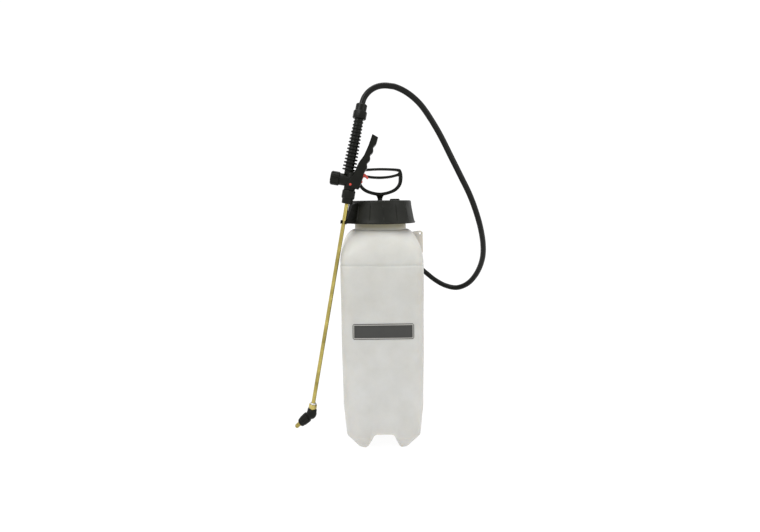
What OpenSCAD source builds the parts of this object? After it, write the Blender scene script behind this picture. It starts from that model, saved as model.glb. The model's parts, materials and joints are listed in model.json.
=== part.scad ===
// Three-gallon compression sprayer: poly tank, hand pump in the screw cap, hose,
// shut-off handset with a squeeze lever, brass wand and angled nozzle.
// Millimetres. The origin is on the floor, under the pump axis. +Z is up,
// +X runs from the wand side to the hose side, and -Y is the labelled front.

/* [Tank] */
// Half the width of the tank at its widest
tank_half = 86.5; // [80:0.5:95]
// Thickness of the tank wall
tank_wall = 2.6; // [2:0.1:4]
// Height where the straight wall ends and the shoulder starts
shoulder_z = 380; // [360:1:395]
// Height where the shoulder meets the neck
neck_z = 448; // [440:1:455]
// Outer radius of the neck
neck_r = 55.8; // [54:0.1:57]
// Height of the neck rim
rim_z = 496; // [490:1:497]
// Height of the open channels between the feet
arch_h = 36; // [24:1:42]

/* [Cap] */
// Height of the lower edge of the cap
cap_low_z = 461.6; // [458:0.2:464]
// Height of the top edge of the cap
cap_top_z = 510; // [508:0.5:514]
// Outer radius at the lower edge
cap_low_r = 76.5; // [74:0.5:80]
// Outer radius just under the rounded top edge
cap_top_r = 67.9; // [66:0.1:70]

/* [Pump] */
// Inner radius of the pump barrel
barrel_r = 20.5; // [18:0.1:24]
// Height of the lower end of the barrel
barrel_low_z = 150; // [120:1:200]
// Radius of the pump rod
rod_r = 5.2; // [4.5:0.1:6]
// Height of the underside of the handle frame
handle_low_z = 520; // [518:1:526]
// Half the width of the handle
handle_half = 49.4; // [44:0.2:52]

/* [Handset and wand] */
// Lean of the stored wand, measured from the vertical
wand_lean = 10.2; // [8:0.1:12]
// Free length of the wand tube under its nut
wand_len = 412; // [380:1:440]
// Outer radius of the wand tube
wand_r = 4; // [3.5:0.1:4.5]
// Number of ribs on the grip
rib_count = 15; // [10:1:18]

/* [Hose] */
// Outer diameter of the hose
hose_d = 12.4; // [10:0.1:14]

/* [Hidden] */
$fn = 64;

black = "#23241f";
tan_white = "#e3ddcf";
brass = "#cfae4c";
rubber = "#1c1c1c";
red = "#c83a28";
grey = "#9a9a96";
eps = 0.02;

// Tank outline -------------------------------------------------------------
ring_n = 64;
wall_power = 7;
neck_power = 2;
shoulder_power = 1.5;
foot_in = 36;
foot_out = 52;
arch_half = 17;
chamfer_r = 77;
chamfer_h = 31;
floor_wall = 3;
// Half-width of the tank where the label sits
label_half = 85.5;
// [half-width, height] of the wall rings between the feet and the shoulder
wall_rings = [[80, 60], [83, 92], [label_half, 228], [label_half, 268], [tank_half, 340],
    [tank_half, shoulder_z]];
bottom_rings = [9, 17, 23, 29, 36, 44, 52, 58, 64.5, 71, chamfer_r];
shoulder_steps = [15, 30, 45, 60, 75, 90];

// Radius of a unit superellipse of power n in the direction t
function se(t, n) = 1 / pow(pow(abs(cos(t)), n) + pow(abs(sin(t)), n), 1 / n);
function smooth(u) = let (c = max(0, min(1, u))) c * c * (3 - 2 * c);
// Height of the channel at distance d from its middle line
function channel(d) = arch_h * (1 - smooth((d - arch_half) / (foot_in - arch_half)));
function chamfer(a) = chamfer_h * max(0, (a - foot_out) / (chamfer_r - foot_out));
function sole(x, y, a) = max(channel(abs(x)), channel(abs(y)), chamfer(a));

function bottom_ring(a, inset, lift) = [for (j = [0 : ring_n - 1])
    let (t = 360 * j / ring_n, s = se(t, wall_power), x = a * s * cos(t), y = a * s * sin(t),
         q = (a - inset) / a)
    [x * q, y * q, sole(x, y, a) + lift]];
function level_ring(a, n, z) = [for (j = [0 : ring_n - 1])
    let (t = 360 * j / ring_n, s = se(t, n)) [a * s * cos(t), a * s * sin(t), z]];
function shoulder_ring(step, inset) =
    let (u = pow(cos(step), 2 / shoulder_power), v = pow(sin(step), 2 / shoulder_power),
         n = wall_power - (wall_power - neck_power) * smooth(v))
    level_ring(neck_r + (tank_half - neck_r) * u - inset, n,
        shoulder_z + (neck_z - shoulder_z) * v - inset * v);

outer_rings = concat(
    [for (a = bottom_rings) bottom_ring(a, 0, 0)],
    [for (w = wall_rings) level_ring(w[0], wall_power, w[1])],
    [for (s = shoulder_steps) shoulder_ring(s, 0)],
    [level_ring(neck_r, neck_power, rim_z)]);
inner_rings = concat(
    [level_ring(neck_r - floor_wall, neck_power, rim_z)],
    [for (i = [len(shoulder_steps) - 1 : -1 : 0]) shoulder_ring(shoulder_steps[i], tank_wall)],
    [for (i = [len(wall_rings) - 1 : -1 : 0])
        level_ring(wall_rings[i][0] - tank_wall, wall_power, wall_rings[i][1])],
    [for (i = [len(bottom_rings) - 1 : -1 : 0])
        bottom_ring(bottom_rings[i], i == 0 ? 0.5 : tank_wall * bottom_rings[i] / chamfer_r,
            floor_wall)]);
tank_rings = concat(outer_rings, inner_rings);

// Strap lug at the right shoulder
lug_x = 93;
lug_top = 444;
lug_thick = 8;
lug_hole = [87.2, 437];

// Label: a plain plate on the front face, over this many steps of the wall's outline each
// side of the middle, and part of the next step
label_steps = 6;
label_part_step = 0.358;
label_gap = 0.02;
label_low = 233;
label_h = 31;
label_thick = 0.7;

// Cap and pump --------------------------------------------------------------
thread_r = 56.3;
deck_z = 507;
deck_under_z = 502.5;
rim_in_r = 60;
flange_z = 498.5;
flange_h = 3.9;
flange_r = 54;
barrel_wall = 2.5;
collar_top_z = 504.6;
guide_top_z = 508.6;
run = 0.06;
piston_z = 165;
relief_pos = [34, 20];
relief_bore = 4;
relief_seat_z = 487;

// Handset frame --------------------------------------------------------------
handset_at = [-70.6, -66, 503.8];
grip_lean = 1.5;
grip_at = [-7, 0, 65];
pivot = [1, 39.5];
valve_z = 47.5;
lock_at = [21.2, 49];
cam_x = 14.8;
elbow_z = -433.5;
elbow_turn = 40;
clip_z = -38;

// Outlet and hose ------------------------------------------------------------
outlet_at = [34, 0, 375];
outlet_nut_y = [89.5, 112];
dip_y = 62;
dip_low_z = 42;
hose_sides = 8;
hose_route = [
    [34, 112, 375], [34, 127, 375], [38, 146, 374], [49, 163, 371], [66, 174, 363.5],
    [86, 177, 351.5], [105, 174, 338], [125, 168, 321.5], [147, 160, 304], [172, 150, 291],
    [199, 137, 288], [223, 119, 303], [238, 94, 333], [242, 63, 370], [236, 35, 407],
    [223, 9, 447], [207, -11, 486], [190, -25, 522], [169, -36, 560], [147, -44, 601],
    [126, -50, 641], [106, -54, 674.5], [86, -57, 703], [68, -59, 721], [50, -61, 733.5],
    [32, -62.8, 741.5], [20.6, -63.5, 743.6], [9.2, -64.3, 744.5], [-3.1, -64.9, 742.9],
    [-14.7, -65.4, 738.1], [-25.1, -65.8, 729.9], [-32.9, -66, 719.2], [-37.2, -66, 707.6]];

module handset() {
    translate(handset_at) rotate([0, wand_lean, 0]) children();
}
module grip_line() {
    handset() translate(grip_at) rotate([0, grip_lean, 0]) children();
}
// Along -x of the handset, starting at x on the valve axis
module valve_line(x) {
    handset() translate([x, 0, valve_z]) rotate([0, -90, 0]) children();
}
module nozzle_line() {
    handset() translate([0, 0, elbow_z]) rotate([0, 180 + elbow_turn, 0]) children();
}
module ring(r_out, r_in, h) {
    difference() {
        cylinder(r = r_out, h = h);
        translate([0, 0, -1]) cylinder(r = r_in, h = h + 2);
    }
}
// Tank ------------------------------------------------------------------------
module tank() {
    m = len(tank_rings);
    low = [0, 0, arch_h];
    top = [0, 0, arch_h + floor_wall];
    points = concat([for (r = tank_rings) each r], [low, top]);
    sides = [for (i = [0 : m - 2], j = [0 : ring_n - 1])
        let (a = i * ring_n + j, b = i * ring_n + (j + 1) % ring_n,
             c = b + ring_n, d = a + ring_n)
        each [[a, c, b], [a, d, c]]];
    ends = [for (j = [0 : ring_n - 1])
        let (k = (j + 1) % ring_n, base = (m - 1) * ring_n)
        each [[m * ring_n, j, k], [m * ring_n + 1, base + k, base + j]]];
    color(tan_white) {
        polyhedron(points = points, faces = concat(sides, ends), convexity = 6);
        strap_lug();
    }
}
module strap_lug() {
    translate([0, lug_thick / 2, 0]) rotate([90, 0, 0]) linear_extrude(lug_thick)
        difference() {
            union() {
                polygon([[84.6, 402], [lug_x, 424], [lug_x, 438], [lug_hole[0], lug_top],
                    [69, lug_top - 4], [67, 435]]);
                translate(lug_hole) circle(r = lug_x - lug_hole[0]);
            }
            translate(lug_hole) circle(r = 2.6);
        }
}
// Point k steps of the wall's outline to the right of the middle of the front
function front_point(k, a) = let (t = 360 * k / ring_n - 90, s = se(t, wall_power))
    [a * s * cos(t), a * s * sin(t)];
function label_edge(a) =
    let (m = label_steps, q = label_part_step,
         end = front_point(m, a) * (1 - q) + front_point(m + 1, a) * q)
    concat([[-end[0], end[1]]], [for (k = [-m : m]) front_point(k, a)], [end]);
module label() {
    outside = label_edge(label_half + label_gap + label_thick);
    inside = label_edge(label_half + label_gap);
    color("white") translate([0, 0, label_low]) linear_extrude(label_h)
        polygon(concat(outside, [for (i = [len(inside) - 1 : -1 : 0]) inside[i]]));
}

// Cap ---------------------------------------------------------------------------
module cap() {
    round_r = 4;
    color(black) difference() {
        rotate_extrude($fn = 128) polygon(concat(
            [[cap_low_r - 3, cap_low_z], [cap_low_r, cap_low_z], [cap_low_r, cap_low_z + 2.4],
             [cap_low_r - 1.2, cap_low_z + 3]],
            [for (t = [0 : 15 : 90]) [cap_top_r - round_r * (1 - cos(t)),
                cap_top_z - round_r * (1 - sin(t))]],
            [[rim_in_r + 1, cap_top_z], [rim_in_r, deck_z], [24, deck_z], [24, deck_under_z],
             [thread_r, deck_under_z], [thread_r, cap_low_z + 4], [thread_r + 3, cap_low_z + 4],
             [thread_r + 3, deck_under_z], [cap_top_r - 3.4, deck_under_z],
             [cap_low_r - 4.2, cap_low_z + 3]]));
        translate([relief_pos[0], relief_pos[1], deck_under_z - 1]) cylinder(r = relief_bore, h = 6);
    }
}
module cap_gasket() {
    color(rubber) translate([0, 0, rim_z]) ring(neck_r, 50, flange_z - rim_z);
}
module wand_clip() {
    turn = atan2(-66, -77.3);
    color(black) {
        handset() translate([0, 0, clip_z - 3.5]) difference() {
            union() {
                cylinder(r = 6.6, h = 7);
                translate([-6.6, -6.4, 0]) cube([13.2, 6.4, 7]);
            }
            translate([0, 0, -1]) cylinder(r = wand_r + 0.4, h = 10);
            translate([-wand_r - 0.4, -12, -1]) cube([2 * wand_r + 0.8, 12, 10]);
        }
        rotate([0, 0, turn]) translate([0, 4.5, 0]) rotate([90, 0, 0]) linear_extrude(9)
            polygon([[66.5, 463], [96.2, 463], [96.2, 471], [81, 503], [66.5, 505]]);
    }
}

// Pump ----------------------------------------------------------------------------
module pump_barrel() {
    outer = barrel_r + barrel_wall;
    color(grey) difference() {
        union() {
            translate([0, 0, barrel_low_z]) cylinder(r = outer, h = collar_top_z - barrel_low_z);
            translate([0, 0, flange_z]) cylinder(r = flange_r, h = flange_h);
        }
        translate([0, 0, barrel_low_z + 4]) cylinder(r = barrel_r, h = collar_top_z);
        translate([0, 0, barrel_low_z - 1]) cylinder(r = 2.5, h = 10);
        for (t = [0 : 60 : 300])
            rotate([0, 0, t]) translate([9, 0, barrel_low_z - 1]) cylinder(r = 2.2, h = 10);
        translate([relief_pos[0], relief_pos[1], flange_z - 1]) cylinder(r = 9.02, h = 10);
    }
}
module check_valve() {
    color(rubber) translate([0, 0, barrel_low_z]) {
        translate([0, 0, -2.6]) cylinder(r = 14, h = 2.6);
        translate([0, 0, -eps]) cylinder(r = 2.5, h = 4 + 2 * eps);
        translate([0, 0, 4]) cylinder(r = 4, h = 3);
    }
}
module rod_guide() {
    color(black) difference() {
        union() {
            translate([0, 0, 482]) cylinder(r = barrel_r - 0.02, h = collar_top_z - 482 + eps);
            translate([0, 0, collar_top_z]) cylinder(r = 22.8, h = guide_top_z - collar_top_z);
        }
        translate([0, 0, 480]) cylinder(r = rod_r + run, h = 40);
    }
}
module piston_cup() {
    color(rubber) translate([0, 0, piston_z + 7.1]) difference() {
        cylinder(r = barrel_r - 0.08, h = 7.8);
        translate([0, 0, -1]) cylinder(r = 8 + run, h = 12);
        translate([0, 0, -1]) ring(17.8, 12, 6);
    }
}
module piston() {
    color(grey) translate([0, 0, piston_z]) difference() {
        union() {
            cylinder(r = 19.6, h = 7);
            cylinder(r = 8, h = 20);
            translate([0, 0, 15]) cylinder(r = 18, h = 5);
        }
        translate([0, 0, -1]) cylinder(r = 3.5, h = 22);
        for (t = [45 : 90 : 315])
            rotate([0, 0, t]) translate([13.5, 0, 14]) cylinder(r = 1.6, h = 8);
    }
}
module piston_nut() {
    color(brass) translate([0, 0, piston_z - 5]) difference() {
        cylinder(r = 6.4, h = 5, $fn = 6);
        translate([0, 0, -1]) cylinder(r = 3, h = 7);
    }
}
module pump_rod() {
    color(black) {
        translate([0, 0, piston_z + 20]) cylinder(r = rod_r, h = handle_low_z + 5 - piston_z - 20);
        translate([0, 0, piston_z]) cylinder(r = 3.5, h = 20);
        translate([0, 0, piston_z - 8]) cylinder(r = 3, h = 8);
    }
}
// Half-outlines of the handle, from the lowest point up the right side
handle_outer = [[0, 0], [12, 1.6], [24, 4.9], [35, 10], [43, 17.5], [47.6, 26], [handle_half, 36],
    [handle_half, 44], [48.6, 50], [46.4, 55.5], [42.5, 58.6], [25, 60.2], [0, 61]];
handle_low_opening = [[0, 6.6], [12, 8.1], [22, 10.9], [31, 15.2], [37.8, 21.4], [41.6, 29],
    [42.4, 38], [41.4, 43.4], [28, 40.6], [15, 38.8], [0, 38]];
handle_lens = [[0, 42.2], [16, 43], [29, 45.2], [38, 48], [42.2, 51.4], [38, 54.2], [24, 55.7],
    [0, 56.6]];
function both_sides(half) = concat(half, [for (i = [len(half) - 1 : -1 : 0])
    if (half[i][0] != 0) [-half[i][0], half[i][1]]]);
module pump_handle() {
    grip_deep = 18;
    color(black) translate([0, 0, handle_low_z]) difference() {
        union() {
            translate([0, grip_deep / 2, 0]) rotate([90, 0, 0]) linear_extrude(grip_deep)
                difference() {
                    polygon(both_sides(handle_outer));
                    polygon(both_sides(handle_low_opening));
                    polygon(both_sides(handle_lens));
                }
            translate([0, 0, -4]) cylinder(r = 8, h = 9);
        }
        translate([0, 0, -5]) cylinder(r = rod_r, h = 10);
    }
}

// Pressure-relief valve ---------------------------------------------------------------
module relief_body() {
    color(black) translate([relief_pos[0], relief_pos[1], relief_seat_z - 3]) difference() {
        cylinder(r = 9, h = deck_under_z - relief_seat_z + 3);
        translate([0, 0, 3]) cylinder(r = 7.2, h = 20);
        translate([0, 0, -1]) cylinder(r = 2.5, h = 10);
    }
}
module relief_knob() {
    color(black) translate([relief_pos[0], relief_pos[1], 0]) {
        translate([0, 0, deck_z + 0.6]) cylinder(r = 11, h = 6.2);
        translate([0, 0, relief_seat_z + 3]) cylinder(r = 2.6, h = 20);
        translate([0, 0, relief_seat_z + 1]) cylinder(r = 6.5, h = 2.4);
    }
}
module relief_spring() {
    low = relief_seat_z + 3.4;
    color(grey) translate([relief_pos[0], relief_pos[1], low]) ring(5.4, 4.4, deck_under_z - low);
}
module relief_seal() {
    color(rubber) translate([relief_pos[0], relief_pos[1], relief_seat_z]) cylinder(r = 5.6, h = 1);
}

// Outlet, dip tube and hose -------------------------------------------------------------
module outlet_fitting() {
    color(black) translate([outlet_at[0], 0, outlet_at[2]]) rotate([-90, 0, 0]) {
        translate([0, 0, dip_y]) cylinder(r = 7.5, h = 18);
        translate([0, 0, 79]) cylinder(r = 13, h = 3);
        translate([0, 0, 80]) cylinder(r = 8, h = 20);
        translate([0, 0, 99]) cylinder(r = 4.6, h = 10);
    }
    color(black) translate([outlet_at[0], dip_y, outlet_at[2] - 12]) difference() {
        cylinder(r = 7.5, h = 18);
        translate([0, 0, -1]) cylinder(r = 5, h = 10);
    }
}
module outlet_gasket() {
    color(rubber) translate([outlet_at[0], tank_half + 0.1, outlet_at[2]]) rotate([-90, 0, 0])
        ring(13, 8.02, 2.8);
}
module outlet_hose_nut() {
    color(black) translate([outlet_at[0], outlet_nut_y[0], outlet_at[2]]) rotate([-90, 0, 0])
        difference() {
            union() {
                cylinder(r = 14, h = 13, $fn = 12);
                cylinder(r = 11.5, h = outlet_nut_y[1] - outlet_nut_y[0]);
            }
            translate([0, 0, -1]) cylinder(r = 8.02, h = 12);
            translate([0, 0, 10]) cylinder(r = 4.8, h = 10);
        }
}
module dip_tube() {
    color("white") translate([outlet_at[0], dip_y, dip_low_z])
        ring(4.98, 3.4, outlet_at[2] - 4 - dip_low_z);
}
module dip_strainer() {
    color(grey) translate([outlet_at[0], dip_y, dip_low_z - 14]) difference() {
        cylinder(r = 7, h = 18);
        translate([0, 0, 14]) cylinder(r = 5, h = 6);
        translate([0, 0, 2]) cylinder(r = 4, h = 20);
        for (t = [0 : 60 : 300], z = [5, 9.5])
            translate([0, 0, z]) rotate([0, 90, t]) cylinder(r = 1.2, h = 10);
    }
}
function unit(v) = v / norm(v);
function tangent(p, i) = unit(p[min(i + 1, len(p) - 1)] - p[max(i - 1, 0)]);
// The frame's first axis, carried along the route without twisting
function carried(p, i) = i == 0 ? [0, 0, 1]
    : let (t = tangent(p, i), n = carried(p, i - 1)) unit(n - (n * t) * t);
module hose() {
    m = len(hose_route);
    points = [for (i = [0 : m - 1])
        let (t = tangent(hose_route, i), n = carried(hose_route, i), b = cross(t, n))
        for (j = [0 : hose_sides - 1])
            hose_route[i] + hose_d / 2 * (n * cos(360 * j / hose_sides) + b * sin(360 * j / hose_sides))];
    sides = [for (i = [0 : m - 2], j = [0 : hose_sides - 1])
        let (a = i * hose_sides + j, b = i * hose_sides + (j + 1) % hose_sides)
        each [[a, b, b + hose_sides], [a, b + hose_sides, a + hose_sides]]];
    first = [[for (j = [hose_sides - 1 : -1 : 0]) j]];
    last = [[for (j = [0 : hose_sides - 1]) (m - 1) * hose_sides + j]];
    color(black) polyhedron(points = points, faces = concat(first, sides, last), convexity = 8);
}

// Handset ------------------------------------------------------------------------------
module handset_hose_nut() {
    color(black) grip_line() translate([0, 0, 109]) difference() {
        union() {
            cylinder(r = 14, h = 17, $fn = 12);
            cylinder(r = 11.5, h = 31.4);
        }
        translate([0, 0, -1]) cylinder(r = 8.5, h = 13);
        translate([0, 0, 10]) cylinder(r = 4.8, h = 14);
    }
}
module handset_body() {
    pitch = 7.05;
    color(black) difference() {
        union() {
            handset() translate([0, 0, 16]) cylinder(r = 9.9, h = 16);
            handset() translate([0, 0, 28.2]) cylinder(r = 11.6, h = 38);
            valve_line(8) cylinder(r = 11.6, h = 8);
            valve_line(2) cylinder(r = 12.3, h = 24.8);
            grip_line() translate([0, 0, -6]) cylinder(r = 7.3, h = 114.8);
            grip_line() translate([0, 0, 108]) cylinder(r = 8.4, h = 11);
            grip_line() translate([0, 0, 118]) cylinder(r = 4.6, h = 12);
            for (i = [0 : rib_count - 1])
                grip_line() translate([0, 0, 3 + i * pitch])
                    cylinder(r1 = 14.6 - 0.29 * i, r2 = 14.1 - 0.29 * i, h = 2.2);
        }
        handset() translate([0, 0, 10]) cylinder(r = 3, h = valve_z - 10);
        handset() translate([0, 0, 15]) cylinder(r = wand_r + 0.02, h = 4);
        grip_line() translate([0, 0, -12]) cylinder(r = 3.6, h = 160);
        valve_line(4) cylinder(r = 5.5, h = 30);
        valve_line(14) cylinder(r = 2.3, h = 14);
        valve_line(14) cylinder(r = 4.5, h = 5.2);
        for (s = [-1, 1]) handset() translate([pivot[0], s * 10.4, pivot[1]])
            rotate([90, 0, 0]) cylinder(r = 2.5, h = 3.2, center = true);
    }
}
module grip_strainer() {
    color("white") grip_line() translate([0, 0, 40]) ring(3.5, 2.6, 60);
}
// Side view of the lever, from the heel up the outer edge with its finger grooves
lever_side = [[12, 32], [18, 32], [20, 36.5], [24, 55], [27.5, 70], [30.8, 78], [30, 87],
    [34, 95], [33.4, 104], [37, 112], [36.6, 121], [39.6, 129], [40.5, 142.3], [27.8, 147],
    [23.4, 122], [17.6, 100.5], [9.5, 83], [5, 62], [-3.5, 45], [-4.5, 38], [0, 34.5], [6, 35]];
lever_hollow = [[12, 20], [17, 36], [20.6, 55], [24, 71], [26, 88], [29.4, 105], [32, 118],
    [20, 118], [-20, 118], [-20, 20]];
module lever() {
    half = 16;
    inside = 13.6;
    color(black) handset() difference() {
        union() {
            difference() {
                translate([0, half, 0]) rotate([90, 0, 0]) linear_extrude(2 * half)
                    polygon(lever_side);
                translate([0, inside, 0]) rotate([90, 0, 0]) linear_extrude(2 * inside)
                    polygon(lever_hollow);
                for (s = [-1, 1]) translate([10, s * 22, 112]) rotate([s * 6, 0, 0])
                    translate([0, 0, 20]) cube([80, 16, 90], center = true);
                translate([10, -3.9, 43]) cube([20, 7.8, 26]);
            }
            translate([cam_x, -inside - 0.2, valve_z - 4]) cube([2.8, 2 * inside + 0.4, 8]);
            for (s = [-1, 1]) translate([cam_x + 2, s * 5.5 - 1.5, lock_at[1] - 4])
                cube([5.2, 3, 8]);
        }
        translate([pivot[0], 0, pivot[1]]) rotate([90, 0, 0])
            cylinder(r = 2.5 + run, h = 40, center = true);
        translate([lock_at[0], 0, lock_at[1]]) rotate([90, 0, 0])
            cylinder(r = 1.5, h = 14.1, center = true);
    }
}
module lever_pins() {
    color(red) handset() for (s = [-1, 1])
        translate([pivot[0], s * 12.9, pivot[1]]) rotate([90, 0, 0])
            cylinder(r = 2.48, h = 8, center = true);
}
module lever_lock() {
    wide = 7;
    color(red) handset() difference() {
        translate([0, wide / 2, 0]) rotate([90, 0, 0]) linear_extrude(wide) union() {
            translate(lock_at) circle(r = 3.2);
            polygon([[19.2, 51], [23.6, 50.6], [27.4, 60.4], [32.8, 55.6], [34.6, 59.2],
                [27, 66.2], [23.6, 66.4]]);
        }
        translate([lock_at[0], 0, lock_at[1]]) rotate([90, 0, 0])
            cylinder(r = 1.5 + run, h = 20, center = true);
    }
}
module lock_pin() {
    color(red) handset() translate([lock_at[0], 0, lock_at[1]]) rotate([90, 0, 0])
        cylinder(r = 1.5, h = 14, center = true);
}
module valve_plunger() {
    color(brass) {
        valve_line(14.5) cylinder(r = 2.2, h = 19.6);
        valve_line(-4.6) cylinder(r = 4.9, h = 3);
        valve_line(-7) cylinder(r = 2.2, h = 8);
    }
}
module plunger_oring() {
    color(rubber) valve_line(-2.2) ring(5.2, 2.22, 2.2);
}
module stem_seal() {
    color(rubber) valve_line(11.6) ring(4.48, 2.24, 2.8);
}
module valve_spring() {
    color(grey) valve_line(-8) ring(4.4, 3.4, 16.5);
}
module bonnet() {
    color(black) difference() {
        union() {
            valve_line(-23) cylinder(r = 14.4, h = 16.2);
            valve_line(-39.1) cylinder(r1 = 14.4, r2 = 12, h = 2.5);
            valve_line(-18) cylinder(r = 5.45, h = 8);
        }
        valve_line(-16) cylinder(r = 4.5, h = 11);
        for (t = [0 : 45 : 315]) valve_line(-25) rotate([0, 0, t])
            translate([15.2, 0, 0]) cylinder(r = 2.2, h = 20);
    }
}
module bonnet_oring() {
    color(rubber) valve_line(-22.82) ring(12.3, 5.6, 0.16);
}

// Wand ------------------------------------------------------------------------------------
module wand_nut() {
    color(black) handset() difference() {
        union() {
            cylinder(r = 11.2, h = 10.2);
            translate([0, 0, 10]) cylinder(r = 13.5, h = 18, $fn = 12);
        }
        translate([0, 0, -1]) cylinder(r = wand_r + 0.02, h = 12);
        translate([0, 0, 10]) cylinder(r = 9.95, h = 20);
    }
}
module wand_oring() {
    color(rubber) handset() translate([0, 0, 12]) ring(8, wand_r + 0.01, 3.4);
}
module wand_tube() {
    color(brass) handset() translate([0, 0, -wand_len - 4.5]) difference() {
        cylinder(r = wand_r, h = wand_len + 22.5);
        translate([0, 0, -1]) cylinder(r = wand_r - 0.9, h = wand_len + 25);
    }
}
module wand_collar() {
    color(brass) handset() translate([0, 0, -wand_len - 10.5]) difference() {
        cylinder(r = 8.2, h = 9, $fn = 6);
        translate([0, 0, -1]) cylinder(r = 3, h = 16);
        translate([0, 0, 6]) cylinder(r = wand_r + 0.01, h = 6);
    }
}
module collar_washer() {
    color("silver") handset() translate([0, 0, -wand_len - 1.5]) ring(6.6, wand_r + 0.01, 3);
}
module nozzle_elbow() {
    color(black) difference() {
        union() {
            handset() translate([0, 0, elbow_z]) cylinder(r = 9.6, h = -wand_len - 10.6 - elbow_z);
            handset() translate([0, 0, elbow_z]) sphere(r = 10.4);
            nozzle_line() cylinder(r = 8, h = 14);
        }
        handset() translate([0, 0, elbow_z]) cylinder(r = 2.5, h = 20);
        nozzle_line() cylinder(r = 2.5, h = 20);
        handset() translate([0, 0, elbow_z]) sphere(r = 3.2);
    }
}
module nozzle_nut() {
    color(black) nozzle_line() difference() {
        union() {
            translate([0, 0, 9]) cylinder(r1 = 10.4, r2 = 8.6, h = 20.5);
            for (t = [0 : 30 : 330]) rotate([0, 0, t])
                translate([9.3, -0.8, 10.6]) cube([1.2, 1.6, 13]);
        }
        translate([0, 0, 8]) cylinder(r = 8.05, h = 6.2);
        translate([0, 0, 9]) cylinder(r = 4.4, h = 22);
    }
}
module nozzle_gasket() {
    color(rubber) nozzle_line() translate([0, 0, 14.2]) ring(4.3, 2.5, 1.6);
}
module nozzle_tip() {
    color(brass) nozzle_line() difference() {
        union() {
            translate([0, 0, 15.9]) cylinder(r = 4.34, h = 23.5);
            translate([0, 0, 39.4]) cylinder(r1 = 4.34, r2 = 2.8, h = 2.4);
        }
        translate([0, 0, 15]) cylinder(r = 2, h = 20);
        translate([0, 0, 30]) cylinder(r = 0.6, h = 14);
    }
}

tank();
label();
cap();
cap_gasket();
wand_clip();
pump_barrel();
check_valve();
rod_guide();
piston_cup();
piston();
piston_nut();
pump_rod();
pump_handle();
relief_body();
relief_knob();
relief_spring();
relief_seal();
outlet_fitting();
outlet_gasket();
outlet_hose_nut();
dip_tube();
dip_strainer();
hose();
handset_hose_nut();
handset_body();
grip_strainer();
lever();
lever_pins();
lever_lock();
lock_pin();
valve_plunger();
plunger_oring();
stem_seal();
valve_spring();
bonnet();
bonnet_oring();
wand_nut();
wand_oring();
wand_tube();
wand_collar();
collar_washer();
nozzle_elbow();
nozzle_nut();
nozzle_gasket();
nozzle_tip();
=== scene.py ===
"""Compression sprayer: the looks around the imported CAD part.
Metres in Blender; outlines and sizes below are in millimetres and scaled by MILLI."""

import json
import math

import bmesh
import bpy
from mathutils import Matrix, Vector


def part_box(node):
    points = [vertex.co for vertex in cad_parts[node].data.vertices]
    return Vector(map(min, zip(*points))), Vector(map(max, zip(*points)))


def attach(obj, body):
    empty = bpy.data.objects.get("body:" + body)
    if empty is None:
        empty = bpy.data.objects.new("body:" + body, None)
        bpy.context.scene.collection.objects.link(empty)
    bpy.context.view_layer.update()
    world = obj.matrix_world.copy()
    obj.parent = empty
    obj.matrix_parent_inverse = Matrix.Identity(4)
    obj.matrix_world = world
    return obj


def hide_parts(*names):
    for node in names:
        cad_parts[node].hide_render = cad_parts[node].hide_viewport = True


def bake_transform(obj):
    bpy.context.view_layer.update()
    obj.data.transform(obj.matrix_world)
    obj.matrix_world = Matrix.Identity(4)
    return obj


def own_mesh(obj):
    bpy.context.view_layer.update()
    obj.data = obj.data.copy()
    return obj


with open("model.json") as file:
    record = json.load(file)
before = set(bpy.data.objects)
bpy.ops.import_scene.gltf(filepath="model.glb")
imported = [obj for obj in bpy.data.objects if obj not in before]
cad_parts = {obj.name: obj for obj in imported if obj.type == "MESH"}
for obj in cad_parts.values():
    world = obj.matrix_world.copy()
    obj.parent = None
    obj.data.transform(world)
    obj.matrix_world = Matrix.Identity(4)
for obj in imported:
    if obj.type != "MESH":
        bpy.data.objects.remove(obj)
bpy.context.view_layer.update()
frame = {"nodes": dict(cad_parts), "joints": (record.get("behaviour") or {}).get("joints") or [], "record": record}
joints = {j["name"]: j for j in frame["joints"]}

MILLI = Matrix.Scale(0.001, 4)
TAU = 2 * math.pi


def mm(value):
    return value * 1000


# ---------------------------------------------------------------- camera
CAMERA_AT = (-0.040, -0.900, 0.505)
CAMERA_ROLL = -0.66
FOCAL_SHARE = 0.5383  # focal length over the image's width
SHIFT = (0.0239, -0.0829)

camera_data = bpy.data.cameras.new("camera")
camera_data.sensor_width = 36
camera_data.lens = FOCAL_SHARE * camera_data.sensor_width
camera_data.shift_x, camera_data.shift_y = SHIFT
camera = bpy.data.objects.new("camera", camera_data)
bpy.context.scene.collection.objects.link(camera)
camera.matrix_world = (
    Matrix.Translation(CAMERA_AT)
    @ Matrix.Rotation(math.radians(90), 4, "X")
    @ Matrix.Rotation(math.radians(CAMERA_ROLL), 4, "Z")
)
bpy.context.scene.camera = camera


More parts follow.
